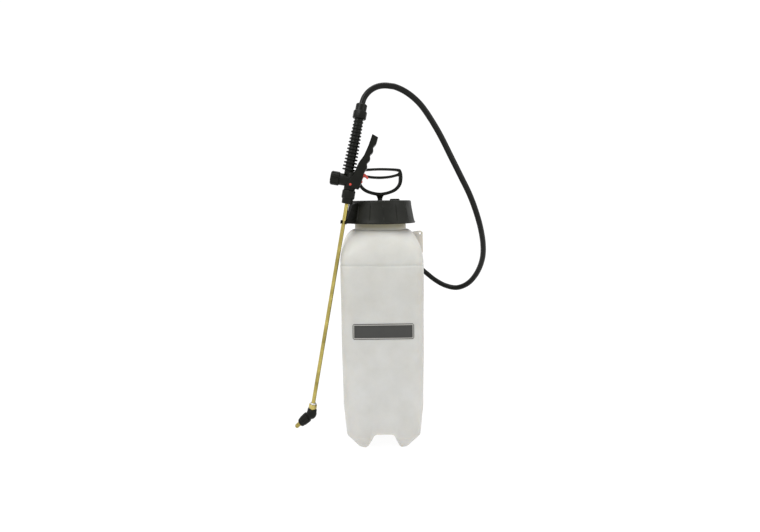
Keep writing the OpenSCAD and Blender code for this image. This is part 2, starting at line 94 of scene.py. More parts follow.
# ---------------------------------------------------------------- materials
class Look:
    """A Principled material and the few nodes that all of them share."""

    def __init__(self, name, rough, metallic=0.0, **sockets):
        self.material = bpy.data.materials.new(name)
        self.material.use_nodes = True
        self.tree = self.material.node_tree
        self.shader = self.tree.nodes["Principled BSDF"]
        self.shader.inputs["Roughness"].default_value = rough
        self.shader.inputs["Metallic"].default_value = metallic
        for socket, value in sockets.items():
            self.shader.inputs[socket.replace("_", " ")].default_value = value
        self.coords = self.tree.nodes.new("ShaderNodeTexCoord").outputs["Object"]

    def add(self, kind, **values):
        node = self.tree.nodes.new(kind)
        for key, value in values.items():
            setattr(node, key, value)
        return node

    def link(self, a, b):
        self.tree.links.new(a, b)

    def noise(self, scale, detail=3.0, stretch=(1, 1, 1), turn=(0, 0, 0), rough=0.5):
        mapping = self.add("ShaderNodeMapping")
        mapping.inputs["Scale"].default_value = stretch
        mapping.inputs["Rotation"].default_value = [math.radians(a) for a in turn]
        self.link(self.coords, mapping.inputs["Vector"])
        node = self.add("ShaderNodeTexNoise")
        node.inputs["Scale"].default_value = scale
        node.inputs["Detail"].default_value = detail
        node.inputs["Roughness"].default_value = rough
        self.link(mapping.outputs["Vector"], node.inputs["Vector"])
        return node.outputs["Fac"]

    def ramp(self, factor, stops):
        """stops are (place, colour)."""
        node = self.add("ShaderNodeValToRGB")
        elements = node.color_ramp.elements
        while len(elements) < len(stops):
            elements.new(0.5)
        for element, (place, colour) in zip(elements, stops):
            element.position = place
            element.color = (*colour, 1)
        self.link(factor, node.inputs["Fac"])
        return node.outputs["Color"]

    def mapped(self, value, low, high, to_low, to_high):
        node = self.add("ShaderNodeMapRange")
        for key, number in zip(("From Min", "From Max", "To Min", "To Max"), (low, high, to_low, to_high)):
            node.inputs[key].default_value = number
        self.link(value, node.inputs["Value"])
        return node.outputs["Result"]

    def mixed(self, factor, a, b, blend="MIX"):
        node = self.add("ShaderNodeMix", data_type="RGBA", blend_type=blend)
        for socket, value in zip((node.inputs[0], node.inputs[6], node.inputs[7]), (factor, a, b)):
            if isinstance(value, (int, float)):
                socket.default_value = value
            elif isinstance(value, tuple):
                socket.default_value = (*value, 1)
            else:
                self.link(value, socket)
        return node.outputs[2]

    def colour(self, output):
        self.link(output, self.shader.inputs["Base Color"])

    def bumps(self, *layers):
        """layers are (height output, depth in metres), coarse ones first."""
        normal = None
        for height, depth in layers:
            node = self.add("ShaderNodeBump")
            node.inputs["Distance"].default_value = depth
            node.inputs["Strength"].default_value = 0.8
            self.link(height, node.inputs["Height"])
            if normal is not None:
                self.link(normal, node.inputs["Normal"])
            normal = node.outputs["Normal"]
        self.link(normal, self.shader.inputs["Normal"])


def tone(colour, share):
    return tuple(min(1.0, c * share) for c in colour)


def moulded(name, colour, rough, grain=900, grain_depth=0.00006, spread=0.16, **sockets):
    """Injection-moulded plastic: faint flow mottling, a fine spark-eroded grain and uneven gloss."""
    look = Look(name, rough, **sockets)
    mottle = look.noise(38, 4)
    look.colour(look.ramp(mottle, [(0.3, tone(colour, 1 - spread)), (0.7, tone(colour, 1 + spread))]))
    rub = look.noise(120, 5, rough=0.65)
    look.link(look.mapped(rub, 0.3, 0.75, rough - 0.07, rough + 0.1), look.shader.inputs["Roughness"])
    look.bumps((look.noise(55, 2), 0.00012), (look.noise(grain, 2), grain_depth))
    return look.material


def metal(name, colour, rough, turn=(0, 0, 0), stretch=(1, 1, 0.04), tarnish=None):
    """Drawn or turned metal: fine lines along one direction and a cloudy tarnish."""
    look = Look(name, rough, metallic=1.0)
    cloud = look.noise(30, 5, rough=0.6)
    look.colour(look.ramp(cloud, [(0.35, tarnish or tone(colour, 0.72)), (0.62, colour)]))
    lines = look.noise(1500, 2, stretch, turn)
    look.link(look.mapped(cloud, 0.3, 0.7, rough + 0.12, rough - 0.05), look.shader.inputs["Roughness"])
    look.bumps((lines, 0.00003))
    return look.material


def poly_look():
    """Blow-moulded natural polyethylene: milky, faintly mottled, with painted shade in a band about two thirds up the
    wall and painted shade where the neck sits in the cap's shade.
    """
    look = Look(
        "natural_poly",
        0.42,
        Subsurface_Weight=0.35,
        Subsurface_Radius=(0.03, 0.022, 0.014),
        Subsurface_Scale=0.6,
        Specular_IOR_Level=0.4,
    )
    height = look.add("ShaderNodeSeparateXYZ")
    look.link(look.coords, height.inputs[0])
    z = height.outputs["Z"]
    # painted shade: the body colour runs darker about two thirds up the wall and lighter at the foot and the shoulder,
    # standing in for how the light falls on the tank
    body = look.ramp(
        look.mapped(z, 0.0, 0.45, 0, 1),
        [
            (0.0, (0.555, 0.535, 0.50)),
            (0.3, (0.555, 0.54, 0.51)),
            (0.7, (0.505, 0.49, 0.455)),
            (1.0, (0.55, 0.535, 0.495)),
        ],
    )
    blotch = look.ramp(look.noise(22, 6, rough=0.6), [(0.3, (0.9, 0.895, 0.88)), (0.68, (1, 1, 1))])
    body = look.mixed(1.0, body, blotch, "MULTIPLY")
    shade = look.mapped(z, NECK_SHADE[0], NECK_SHADE[1], 0, 1)
    look.colour(look.mixed(shade, body, (0.296, 0.270, 0.178)))
    rub = look.noise(90, 6, rough=0.7)
    look.link(look.mapped(rub, 0.3, 0.75, 0.34, 0.52), look.shader.inputs["Roughness"])
    look.bumps((look.noise(14, 3), 0.0014), (look.noise(260, 3), 0.00025), (look.noise(1100, 2), 0.00006))
    return look.material


def film_look():
    """A dark printed film with a light keyline near its edge; it carries no lettering."""
    look = Look("label_film", 0.32, Coat_Weight=0.2, Coat_Roughness=0.15)
    low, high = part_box("label")
    split = look.add("ShaderNodeSeparateXYZ")
    look.link(look.coords, split.inputs[0])
    edges = []
    for axis, a, b in ((0, low.x, high.x), (2, low.z, high.z)):
        centred = look.add("ShaderNodeMath", operation="SUBTRACT")
        look.link(split.outputs[axis], centred.inputs[0])
        centred.inputs[1].default_value = (a + b) / 2
        size = look.add("ShaderNodeMath", operation="ABSOLUTE")
        look.link(centred.outputs[0], size.inputs[0])
        gap = look.add("ShaderNodeMath", operation="SUBTRACT")
        gap.inputs[0].default_value = (b - a) / 2
        look.link(size.outputs[0], gap.inputs[1])
        edges.append(gap.outputs[0])
    nearest = look.add("ShaderNodeMath", operation="MINIMUM")
    for k in (0, 1):
        look.link(edges[k], nearest.inputs[k])
    dark, light = (0.014, 0.014, 0.012), (0.42, 0.41, 0.38)
    line = look.ramp(
        look.mapped(nearest.outputs[0], 0, 0.008, 0, 1),
        [
            (0.0, dark),
            (0.16, dark),
            (0.2, light),
            (0.34, light),
            (0.38, (0.016, 0.016, 0.013)),
            (1.0, (0.022, 0.022, 0.019)),
        ],
    )
    wear = look.ramp(look.noise(60, 4), [(0.3, (0.85, 0.85, 0.85)), (0.7, (1, 1, 1))])
    look.colour(look.mixed(1.0, line, wear, "MULTIPLY"))
    look.bumps((look.noise(70, 2), 0.0003), (look.noise(900, 2), 0.00003))
    return look.material


def plain_poly_look():
    """Natural polyethylene pipe and mesh, inside the tank and the grip."""
    look = Look("pipe_poly", 0.4)
    look.colour(look.ramp(look.noise(60, 4), [(0.3, (0.66, 0.65, 0.62)), (0.7, (0.74, 0.73, 0.70))]))
    look.bumps((look.noise(900, 2), 0.00003))
    return look.material


def rubber_look(name, colour, rough, **sockets):
    """Extruded rubber: satin, with fine streaks and a dusting of bloom."""
    look = Look(name, rough, **sockets)
    bloom = look.noise(45, 6, rough=0.65)
    look.colour(look.ramp(bloom, [(0.35, tone(colour, 0.8)), (0.7, tone(colour, 1.35))]))
    look.link(look.mapped(look.noise(160, 4), 0.3, 0.7, rough - 0.06, rough + 0.1), look.shader.inputs["Roughness"])
    look.bumps((look.noise(25, 2), 0.0002), (look.noise(1300, 2), 0.00005))
    return look.material


tank_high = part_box("tank")[1]
cap_low, cap_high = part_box("cap")
NECK_SHADE = (cap_low.z - 0.016, cap_low.z - 0.006)

BLACK = (0.0055, 0.0058, 0.0042)
looks = {
    "tank_plastic": poly_look(),
    "label_stock": film_look(),
    "pipe_poly": plain_poly_look(),
    "black_plastic": moulded("black_plastic", BLACK, 0.32, spread=0.28, Specular_IOR_Level=0.14),
    "cap_plastic": moulded("cap_plastic", (0.009, 0.0095, 0.0068), 0.4, spread=0.25, Specular_IOR_Level=0.18),
    "grey_plastic": moulded("grey_plastic", (0.32, 0.32, 0.31), 0.42, spread=0.08),
    "seal_rubber": rubber_look("seal_rubber", (0.018, 0.018, 0.018), 0.55),
    "hose_rubber": rubber_look("hose_rubber", (0.0045, 0.0048, 0.0038), 0.28, Specular_IOR_Level=0.18),
    "red_plastic": moulded("red_plastic", (0.50, 0.045, 0.028), 0.33, spread=0.1),
    "wand_brass": metal("wand_brass", (0.52, 0.43, 0.13), 0.26, turn=(0, -10.2, 0), tarnish=(0.30, 0.245, 0.07)),
    "spring_steel": metal("spring_steel", (0.62, 0.62, 0.60), 0.28, tarnish=(0.42, 0.42, 0.41)),
    "turned_brass": metal("turned_brass", (0.56, 0.46, 0.15), 0.22, stretch=(1, 1, 1), tarnish=(0.33, 0.265, 0.08)),
}


# ---------------------------------------------------------------- mesh helpers
def finished(name, bm, body, look, *stands_for, sharp=32):
    """The piece made of bm, riding on body and standing for these CAD nodes."""
    bmesh.ops.remove_doubles(bm, verts=bm.verts, dist=2e-6)
    bmesh.ops.dissolve_degenerate(bm, edges=bm.edges, dist=1e-6)
    bmesh.ops.recalc_face_normals(bm, faces=bm.faces)
    mesh = bpy.data.meshes.new(name + "_detailed")
    bm.to_mesh(mesh)
    bm.free()
    for polygon in mesh.polygons:
        polygon.use_smooth = True
    mesh.set_sharp_from_angle(angle=math.radians(sharp))
    mesh.materials.append(looks[look])
    obj = bpy.data.objects.new(name + "_detailed", mesh)
    bpy.context.scene.collection.objects.link(obj)
    if body:
        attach(obj, body)
    if stands_for:
        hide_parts(*stands_for)
    return obj


def bridge(bm, a, b):
    """Faces between two rings; a ring of one vertex is a tip."""
    steps = max(len(a), len(b))
    for j in range(steps):
        k = (j + 1) % steps
        if len(a) == 1 and len(b) == 1:
            return
        if len(a) == 1:
            bm.faces.new((a[0], b[j], b[k]))
        elif len(b) == 1:
            bm.faces.new((a[j], b[0], a[k]))
        else:
            bm.faces.new((a[j], b[j], b[k], a[k]))


def eased(outline, r=0.6, closed=True, bits=3):
    """The outline with its corners rounded by about r; corners on the axis stay."""
    out, n = [], len(outline)
    for i, corner in enumerate(outline):
        p, extra = Vector(corner[:2]), tuple(corner[2:])
        a, b = Vector(outline[i - 1][:2]) - p, Vector(outline[(i + 1) % n][:2]) - p
        end = not closed and i in (0, n - 1)
        if end or p.x < 1e-6 or a.length < 1e-6 or b.length < 1e-6 or a.angle(b) > math.radians(168):
            out.append(tuple(corner))
            continue
        s = p + a.normalized() * min(r, a.length * 0.45)
        e = p + b.normalized() * min(r, b.length * 0.45)
        for k in range(bits + 1):
            t = k / bits
            out.append((*((1 - t) ** 2 * s + 2 * t * (1 - t) * p + t * t * e), *extra))
    return out


def lathe(outline, place, steps=96, dip=None, closed=True, bm=None):
    """The outline [(r, z) or (r, z, weight), ...] turned round place's Z axis.
    dip(angle) is the share taken off the radius where the weight is 1."""
    bm = bm or bmesh.new()
    place = MILLI @ place
    rings = []
    for point in outline:
        r, z = point[:2]
        weight = point[2] if len(point) > 2 else 0
        if r < 1e-6:
            rings.append([bm.verts.new(place @ Vector((0, 0, z)))])
            continue
        ring = []
        for j in range(steps):
            t = TAU * j / steps
            q = r * (1 - weight * dip(t)) if weight and dip else r
            ring.append(bm.verts.new(place @ Vector((q * math.cos(t), q * math.sin(t), z))))
        rings.append(ring)
    for a, b in zip(rings, rings[1:] + (rings[:1] if closed else [])):
        bridge(bm, a, b)
    return bm


def rod(radius, low, high, place, steps=32):
    """A plain cylinder along place's Z axis."""
    return lathe([(0, low), (radius, low), (radius, high), (0, high)], place, steps, closed=False)


def facets(n):
    """dip for a prism of n sides."""
    half = math.pi / n
    return lambda t: 1 - math.cos(half) / math.cos(t % (2 * half) - half)


def flutes(n, centre, radius, outer):
    """dip for n round flutes of that radius, their middles at centre."""

    def dip(t):
        across = centre * math.sin((t + math.pi / n) % (TAU / n) - math.pi / n)
        if abs(across) >= radius:
            return 0.0
        along = centre * math.cos((t + math.pi / n) % (TAU / n) - math.pi / n)
        return max(0.0, 1 - math.hypot(along - math.sqrt(radius**2 - across**2), across) / outer)

    return dip


def ridges(n, depth, width=0.5):
    """dip for n raised ridges with hollows of that depth, as a share of the radius, between them."""
    return lambda t: depth * (1 - max(0.0, math.cos(n * t)) ** (1 / width))


def flowing(points, closed=True, bits=6):
    """A smooth line through the points."""
    pts = [Vector(p) for p in points]
    n, out = len(pts), []
    for i in range(n if closed else n - 1):
        if closed:
            p0, p1, p2, p3 = (pts[(i + k) % n] for k in (-1, 0, 1, 2))
        else:
            p1, p2 = pts[i], pts[i + 1]
            p0 = pts[i - 1] if i else p1 * 2 - p2
            p3 = pts[i + 2] if i + 2 < n else p2 * 2 - p1
        for k in range(bits):
            t = k / bits
            a, b = (p2 - p0) * 0.5, (p3 - p1) * 0.5
            out.append(
                p1 * (2 * t**3 - 3 * t**2 + 1)
                + a * (t**3 - 2 * t**2 + t)
                + p2 * (-2 * t**3 + 3 * t**2)
                + b * (t**3 - t**2)
            )
    if not closed:
        out.append(pts[-1])
    return out


def inset(points, amount):
    """The loop moved to its left by amount."""
    out, n = [], len(points)
    for i, p in enumerate(points):
        a = (p - points[i - 1]).normalized()
        b = (points[(i + 1) % n] - p).normalized()
        along = (a + b).normalized()
        out.append(p + Vector((-along.y, along.x)) * amount / max(0.6, along.dot(a)))
    return out


def plate(outlines, depth, place, round_r, bm=None):
    """A flat piece in place's XY plane, depth thick about its middle, with rounded edges.
    The first outline is the rim and the others are holes."""
    bm = bm or bmesh.new()
    place = MILLI @ place
    turns = [math.radians(d) for d in range(0, 91, 15)]
    profile = [(round_r * (1 - math.sin(t)), depth / 2 - round_r * (1 - math.cos(t))) for t in turns]
    profile += [(cut, -z) for cut, z in reversed(profile)]
    front, back = [], []
    for k, outline in enumerate(outlines):
        points = [Vector(p[:2]) for p in outline]
        area = sum(p.x * q.y - q.x * p.y for p, q in zip(points, points[1:] + points[:1]))
        if area < 0:
            points.reverse()
        side = -1 if k else 1
        rings = []
        for cut, z in profile:
            rings.append([bm.verts.new(place @ Vector((p.x, p.y, z))) for p in inset(points, side * cut)])
        for a, b in zip(rings, rings[1:]):
            bridge(bm, a, b)
        front.append(rings[0])
        back.append(rings[-1])
    for loops in (front, back):
        edges = [bm.edges.get((ring[i - 1], ring[i])) for ring in loops for i in range(len(ring))]
        bmesh.ops.triangle_fill(bm, edges=edges, use_beauty=True)
    return bm


def combined(solids, cuts=()):
    """One closed mesh: the solids joined, less the cuts."""
    made = []
    for bm in [*solids, *cuts]:
        bmesh.ops.remove_doubles(bm, verts=bm.verts, dist=2e-6)
        bmesh.ops.recalc_face_normals(bm, faces=bm.faces)
        mesh = bpy.data.meshes.new("step")
        bm.to_mesh(mesh)
        bm.free()
        obj = bpy.data.objects.new("step", mesh)
        bpy.context.scene.collection.objects.link(obj)
        made.append(obj)
    for i, obj in enumerate(made[1:], 1):
        modifier = made[0].modifiers.new("join", "BOOLEAN")
        modifier.operation = "UNION" if i < len(solids) else "DIFFERENCE"
        modifier.solver = "EXACT"
        modifier.object = obj
    bpy.context.view_layer.update()
    mesh = bpy.data.meshes.new_from_object(made[0].evaluated_get(bpy.context.evaluated_depsgraph_get()))
    bm = bmesh.new()
    bm.from_mesh(mesh)
    for obj in made:
        bpy.data.objects.remove(obj)
    return bm


def brick(size, middle, place):
    bm = bmesh.new()
    bmesh.ops.create_cube(bm, size=1, matrix=MILLI @ place @ Matrix.Translation(middle) @ Matrix.Diagonal((*size, 1)))
    return bm


def swept(path, radius, sides, ends=True, bm=None):
    """A tube along a path in metres, its section carried without twisting."""
    bm = bm or bmesh.new()
    rings, normal = [], None
    for i, p in enumerate(path):
        along = (path[min(i + 1, len(path) - 1)] - path[max(i - 1, 0)]).normalized()
        if normal is None:
            normal = along.orthogonal()
        normal = (normal - along * normal.dot(along)).normalized()
        other = along.cross(normal)
        rings.append(
            [
                bm.verts.new(p + radius * (normal * math.cos(TAU * j / sides) + other * math.sin(TAU * j / sides)))
                for j in range(sides)
            ]
        )
    for a, b in zip(rings, rings[1:]):
        bridge(bm, a, b)
    if ends:
        bm.faces.new(rings[0][::-1])
        bm.faces.new(rings[-1])
    return bm


def coil(radius, wire, low, high, turns, place):
    """A compression spring with closed ends."""
    steps = 24
    path = []
    for i in range(int(turns * steps) + 1):
        u = i / (turns * steps)
        t = TAU * turns * u
        lift = max(0.0, min(1.0, (u * turns - 0.8) / (turns - 1.6)))
        z = low + wire + (high - low - 2 * wire) * lift
        path.append(MILLI @ place @ Vector((radius * math.cos(t), radius * math.sin(t), z)))
    return swept(path, wire * 0.001, 10)


def tilt(degrees, axis="Y"):
    return Matrix.Rotation(math.radians(degrees), 4, axis)


def at(x, y, z):
    return Matrix.Translation((x, y, z))


def axis_of(node):
    """The upright line through the middle of a CAD node's box."""
    low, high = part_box(node)
    return at(mm((low.x + high.x) / 2), mm((low.y + high.y) / 2), 0)


def body_of(node):
    """The moving body that a CAD node belongs to."""
    return next(body for body, nodes in frame["record"]["behaviour"]["bodies"].items() if node in nodes)


UP = Matrix.Identity(4)

# ---------------------------------------------------------------- hose, the cord
HOSE_ROUTE = [
    (34, 112, 375), (34, 127, 375), (38, 146, 374), (49, 163, 371), (66, 174, 363.5),
    (86, 177, 351.5), (105, 174, 338), (125, 168, 321.5), (147, 160, 304), (172, 150, 291),
    (199, 137, 288), (223, 119, 303), (238, 94, 333), (242, 63, 370), (236, 35, 407),
    (223, 9, 447), (207, -11, 486), (190, -25, 522), (169, -36, 560), (147, -44, 601),
    (126, -50, 641), (106, -54, 674.5), (86, -57, 703), (68, -59, 721), (50, -61, 733.5),
    (32, -62.8, 741.5), (20.6, -63.5, 743.6), (9.2, -64.3, 744.5), (-3.1, -64.9, 742.9),
    (-14.7, -65.4, 738.1), (-25.1, -65.8, 729.9), (-32.9, -66, 719.2), (-37.2, -66, 707.6),
]
HOSE_DIAMETER = 0.0124
IN_NUT = 0.0035  # how far each end reaches into its nut

route = [MILLI @ p for p in flowing(HOSE_ROUTE, closed=False, bits=6)]
start_run, end_run = (route[1] - route[0]).normalized(), (route[-1] - route[-2]).normalized()
in_nuts = [route[0] - start_run * IN_NUT, *route, route[-1] + end_run * IN_NUT]
hose = finished("hose", swept(in_nuts, HOSE_DIAMETER / 2, 28), None, "hose_rubber", "hose", sharp=60)
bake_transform(hose)


# ---------------------------------------------------------------- tank
# The shoulder, the foot chamfers and the channels between the feet are a little fuller than in the CAD part.
TANK_HALF, TANK_WALL = mm(tank_high.y), 2.6
RIM_Z = mm(tank_high.z)
SHOULDER_Z, NECK_Z, NECK_R = 380, 448, 55.8
ARCH_H, ARCH_HALF, FOOT_IN, FOOT_OUT = 38, 17, 36, 55
CHAMFER_R, CHAMFER_H = 77, 31
WALL_POWER, NECK_POWER, SHOULDER_POWER = 7, 2, 2
LABEL_HALF = 85.5
WALL_RINGS = [(80, 60), (83, 92), (LABEL_HALF, 228), (LABEL_HALF, 268), (TANK_HALF, 340), (TANK_HALF, SHOULDER_Z)]


def superellipse(t, power):
    return (abs(math.cos(t)) ** power + abs(math.sin(t)) ** power) ** (-1 / power)


def smooth(u):
    u = max(0.0, min(1.0, u))
    return u * u * (3 - 2 * u)


def sole(x, y, a):
    def channel(d):
        return ARCH_H * (1 - smooth((d - ARCH_HALF) / (FOOT_IN - ARCH_HALF)))

    chamfer = CHAMFER_H * max(0.0, (a - FOOT_OUT) / (CHAMFER_R - FOOT_OUT))
    return max(channel(abs(x)), channel(abs(y)), chamfer)


def wall_half(z):
    """Half-width of the wall at a height, eased between the driving rings."""
    for (a0, z0), (a1, z1) in zip(WALL_RINGS, WALL_RINGS[1:]):
        if z <= z1:
            return a0 + (a1 - a0) * smooth((z - z0) / (z1 - z0))
    return WALL_RINGS[-1][0]


def seam_lift(t):
    """The parting line's ridge, on both sides of the tank in the plane of the strap lug."""
    return 0.45 * (math.exp(-((math.sin(t) * 90) ** 2) / 1.6))


def tank_angles():
    base = [TAU * j / 128 for j in range(128)]
    near = [TAU * side / 2 + math.radians(d) for side in (0, 1, 2) for d in (-1.5, -0.8, -0.4, 0.4, 0.8, 1.5)]
    return sorted({round(t % TAU, 6) for t in base + near})


def tank_mesh():
    angles = tank_angles()
    bm = bmesh.new()

    def level(a, power, z, seam=1.0):
        ring = []
        for t in angles:
            q = (a + seam * seam_lift(t)) * superellipse(t, power)
            ring.append(bm.verts.new(MILLI @ Vector((q * math.cos(t), q * math.sin(t), z))))
        return ring

    def bottom(a, inset=0.0, lift=0.0):
        ring = []
        for t in angles:
            s = a * superellipse(t, WALL_POWER)
            x, y = s * math.cos(t), s * math.sin(t)
            q = (a - inset) / a
            ring.append(bm.verts.new(MILLI @ Vector((x * q, y * q, sole(x, y, a) + lift))))
        return ring

    def shoulder(step, inset=0.0):
        u = math.cos(step) ** (2 / SHOULDER_POWER) if step < math.pi / 2 - 1e-6 else 0.0
        v = math.sin(step) ** (2 / SHOULDER_POWER)
        power = WALL_POWER - (WALL_POWER - NECK_POWER) * smooth(v)
        a = NECK_R + (TANK_HALF - NECK_R) * u - inset
        return level(a, power, SHOULDER_Z + (NECK_Z - SHOULDER_Z) * v - inset * v, seam=0 if inset else u)

    bottoms = [9, 14, 17, 20, 23, 26, 29, 32, 36, 40, 44, 48, 52, 55, 58, 61.5, 64.5, 68, 71, 74, CHAMFER_R]
    heights = [60, 66, 72, 80, 92, 110, 130, 160, 200, 228, 240, 255, 268, 290, 315, 340, 360, 374]
    groove = [(377.4, 0.0), (378.4, 0.5), (379.2, 0.9), (380, 0.45)]
    steps = [math.radians(a) for a in range(5, 91, 5)]
    outer = [bottom(a) for a in bottoms]
    outer += [level(wall_half(z), WALL_POWER, z) for z in heights]
    outer += [level(TANK_HALF - cut, WALL_POWER, z) for z, cut in groove]
    outer += [shoulder(s) for s in steps]
    outer += [level(NECK_R, NECK_POWER, z, 0) for z in (NECK_Z + 2, NECK_Z + 10, RIM_Z - 0.6)]
    outer.append(level(NECK_R - 0.6, NECK_POWER, RIM_Z, 0))
    inner = [level(NECK_R - 3, NECK_POWER, RIM_Z, 0)]
    inner += [shoulder(s, TANK_WALL) for s in reversed(steps)]
    inner += [level(wall_half(z) - TANK_WALL, WALL_POWER, z, 0) for z in reversed(heights)]
    inner += [bottom(a, TANK_WALL * a / CHAMFER_R, 3) for a in reversed(bottoms)]
    rings = outer + inner
    for a, b in zip(rings, rings[1:]):
        bridge(bm, a, b)
    for ring, z in ((outer[0], ARCH_H), (inner[-1], ARCH_H + 3)):
        bridge(bm, [bm.verts.new(MILLI @ Vector((0, 0, z)))], ring)
    return bm


LUG_X, LUG_THICK, LUG_HOLE = mm(tank_high.x), 8, (87.2, 437)


def lug_mesh():
    outline = [
        (85, 384), (90.4, 391), (LUG_X, 397.5), (LUG_X, 438), (91.4, 441.6), (LUG_HOLE[0], 442.8), (78, 442), (69, 440),
        (72.6, 433), (78.4, 422), (82.2, 408.5),
    ]
    r = 2.6
    hole = [(LUG_HOLE[0] + r * math.cos(TAU * j / 24), LUG_HOLE[1] + r * math.sin(TAU * j / 24)) for j in range(24)]
    return plate([outline, hole], LUG_THICK, tilt(90, "X"), 0.8)


finished("tank", combined([tank_mesh(), lug_mesh()]), "tank_unit", "tank_plastic", "tank", sharp=38)


def label_mesh():
    """A thin film on the front wall, with rounded corners."""
    low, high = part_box("label")
    z0, z1, half = mm(low.z), mm(high.z), mm(high.x)
    corner, lift, thick = 3.0, 0.12, 0.55
    columns = [-half + 2 * half * i / 60 for i in range(61)]
    bm = bmesh.new()
    front, back = [], []
    for x in columns:
        reach = half - abs(x)
        inset = corner - math.sqrt(max(0.0, corner**2 - (corner - min(corner, reach)) ** 2))
        y = -((LABEL_HALF**WALL_POWER - abs(x) ** WALL_POWER) ** (1 / WALL_POWER))
        nx, ny = abs(x / LABEL_HALF) ** (WALL_POWER - 1) * math.copysign(1, x), -abs(y / LABEL_HALF) ** (WALL_POWER - 1)
        size = math.hypot(nx, ny)
        n = Vector((nx / size, ny / size, 0))
        for rows, out in ((front, lift + thick), (back, lift)):
            rows.append(
                [
                    bm.verts.new(MILLI @ (Vector((x, y, z0 + inset + (z1 - z0 - 2 * inset) * k / 8)) + n * out))
                    for k in range(9)
                ]
            )
    for rows in (front, back):
        for a, b in zip(rows, rows[1:]):
            for k in range(8):
                bm.faces.new((a[k], b[k], b[k + 1], a[k + 1]))
    rim_f = [c[0] for c in front] + front[-1][1:] + [c[-1] for c in front[::-1]][1:] + front[0][::-1][1:-1]
    rim_b = [c[0] for c in back] + back[-1][1:] + [c[-1] for c in back[::-1]][1:] + back[0][::-1][1:-1]
    bridge(bm, rim_f, rim_b)
    return bm


finished("label", label_mesh(), "tank_unit", "label_stock", "label")

# ---------------------------------------------------------------- cap and pump
CAP_Z0, CAP_Z1 = mm(cap_low.z), mm(cap_high.z)
CAP_R0, CAP_R1 = mm(cap_high.x), 67.9
DECK_Z, DECK_UNDER = 507, 502.5
CAP_ROUND = 4
CAP_PANELS, PANEL_TURN = 16, -87.1
PANEL_FLAT, GROOVE_DEPTH, GROOVE_HALF = 0.7, 0.017, 0.022  # shares of flat and of radius, and radians


def cap_mesh():
    skirt = []
    z0, z1, r0, r1 = CAP_Z0 + 3, CAP_Z1 - CAP_ROUND, CAP_R0 - 1.2, CAP_R1
    for k in range(9):
        u = k / 8
        weight = math.sin(math.pi * u) ** 0.35 if 0 < k < 8 else 0
        skirt.append((r0 + (r1 - r0) * u, z0 + (z1 - z0) * u, weight))
    outline = [(CAP_R0 - 3, CAP_Z0), (CAP_R0, CAP_Z0), (CAP_R0, CAP_Z0 + 2.4)] + skirt
    for t in [math.radians(a) for a in range(15, 91, 15)]:
        outline.append((CAP_R1 - CAP_ROUND * (1 - math.cos(t)), z1 + CAP_ROUND * math.sin(t)))
    outline += [
        (61, CAP_Z1), (60, DECK_Z), (52, DECK_Z), (51.4, DECK_Z - 0.5), (49.4, DECK_Z - 0.5), (48.8, DECK_Z),
        (24, DECK_Z), (24, DECK_UNDER), (56.3, DECK_UNDER), (56.3, CAP_Z0 + 4), (59.3, CAP_Z0 + 4),
        (59.3, DECK_UNDER), (CAP_R1 - 3.4, DECK_UNDER), (CAP_R0 - 4.2, CAP_Z0 + 3),
    ]
    flat = facets(CAP_PANELS)
    step = TAU / CAP_PANELS

    def panel(t):
        """A nearly flat panel with a narrow groove each side."""
        off = abs((t + step / 2) % step - step / 2)
        return PANEL_FLAT * flat(t) + GROOVE_DEPTH * smooth(1 - off / GROOVE_HALF)

    hole = rod(4.2, DECK_Z - 9, DECK_Z + 5, axis_of("relief_body"))
    return combined([lathe(eased(outline, 0.5), tilt(PANEL_TURN, "Z"), CAP_PANELS * 40, panel)], [hole])


finished("cap", cap_mesh(), "tank_unit", "cap_plastic", "cap", sharp=30)

ROD_R = mm(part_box("pump_rod")[1].x)
HANDLE_Z = 520
PISTON_Z = 165


def rod_mesh():
    low, high = mm(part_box("pump_rod")[0].z), mm(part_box("pump_rod")[1].z)
    outline = [(0, low), (3, low), (3, PISTON_Z), (3.5, PISTON_Z), (3.5, PISTON_Z + 20), (ROD_R, PISTON_Z + 20)]
    outline += [(ROD_R, z) for z in (240, 320, 400, 480)] + [(ROD_R, high), (0, high)]
    return lathe(eased(outline, 0.5, closed=False), UP, 48, closed=False)


finished("pump_rod", rod_mesh(), "pump_rod_set", "black_plastic", "pump_rod")

# Half-outlines of the handle, from the lowest point up the right side
HANDLE_OUTER = [
    (0, 0), (12, 1.6), (24, 4.9), (35, 10), (43, 17.5), (47.6, 26), (49.4, 36), (49.4, 44), (48.6, 50), (46.4, 55.5),
    (42.5, 58.6), (25, 60.2), (0, 61),
]
HANDLE_OPENING = [
    (0, 6.6), (12, 8.1), (22, 10.9), (31, 15.2), (37.8, 21.4), (41.6, 29), (42.4, 38), (41.4, 43.4), (28, 40.6),
    (15, 38.8), (0, 38),
]
HANDLE_LENS = [(0, 42.2), (16, 43), (29, 45.2), (38, 48), (42.2, 51.4), (38, 54.2), (24, 55.7), (0, 56.6)]


def both_sides(half):
    return list(half) + [(-x, z) for x, z in reversed(half) if x]


def handle_mesh():
    lift = at(0, 0, HANDLE_Z) @ tilt(90, "X")
    loops = [flowing(both_sides(o), bits=4) for o in (HANDLE_OUTER, HANDLE_OPENING, HANDLE_LENS)]
    loop = plate([loops[0], inset(loops[1], 0.7), inset(loops[2], 0.5)], 18, lift, 1.6)
    flare = [(0, -5), (5.7, -5), (6.0, -3.8), (6.6, -2.2), (7.4, -0.8), (8.4, 0.4), (8.4, 4), (0, 4)]
    boss = lathe(flare, at(0, 0, HANDLE_Z), 64, closed=False)
    bore = rod(ROD_R, -6, 5.05, at(0, 0, HANDLE_Z), 48)
    return combined([loop, boss], [bore])


finished("pump_handle", handle_mesh(), "pump_rod_set", "black_plastic", "pump_handle", sharp=40)

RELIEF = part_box("relief_knob")
RELIEF_AT = axis_of("relief_knob")
SEAT_Z = 487


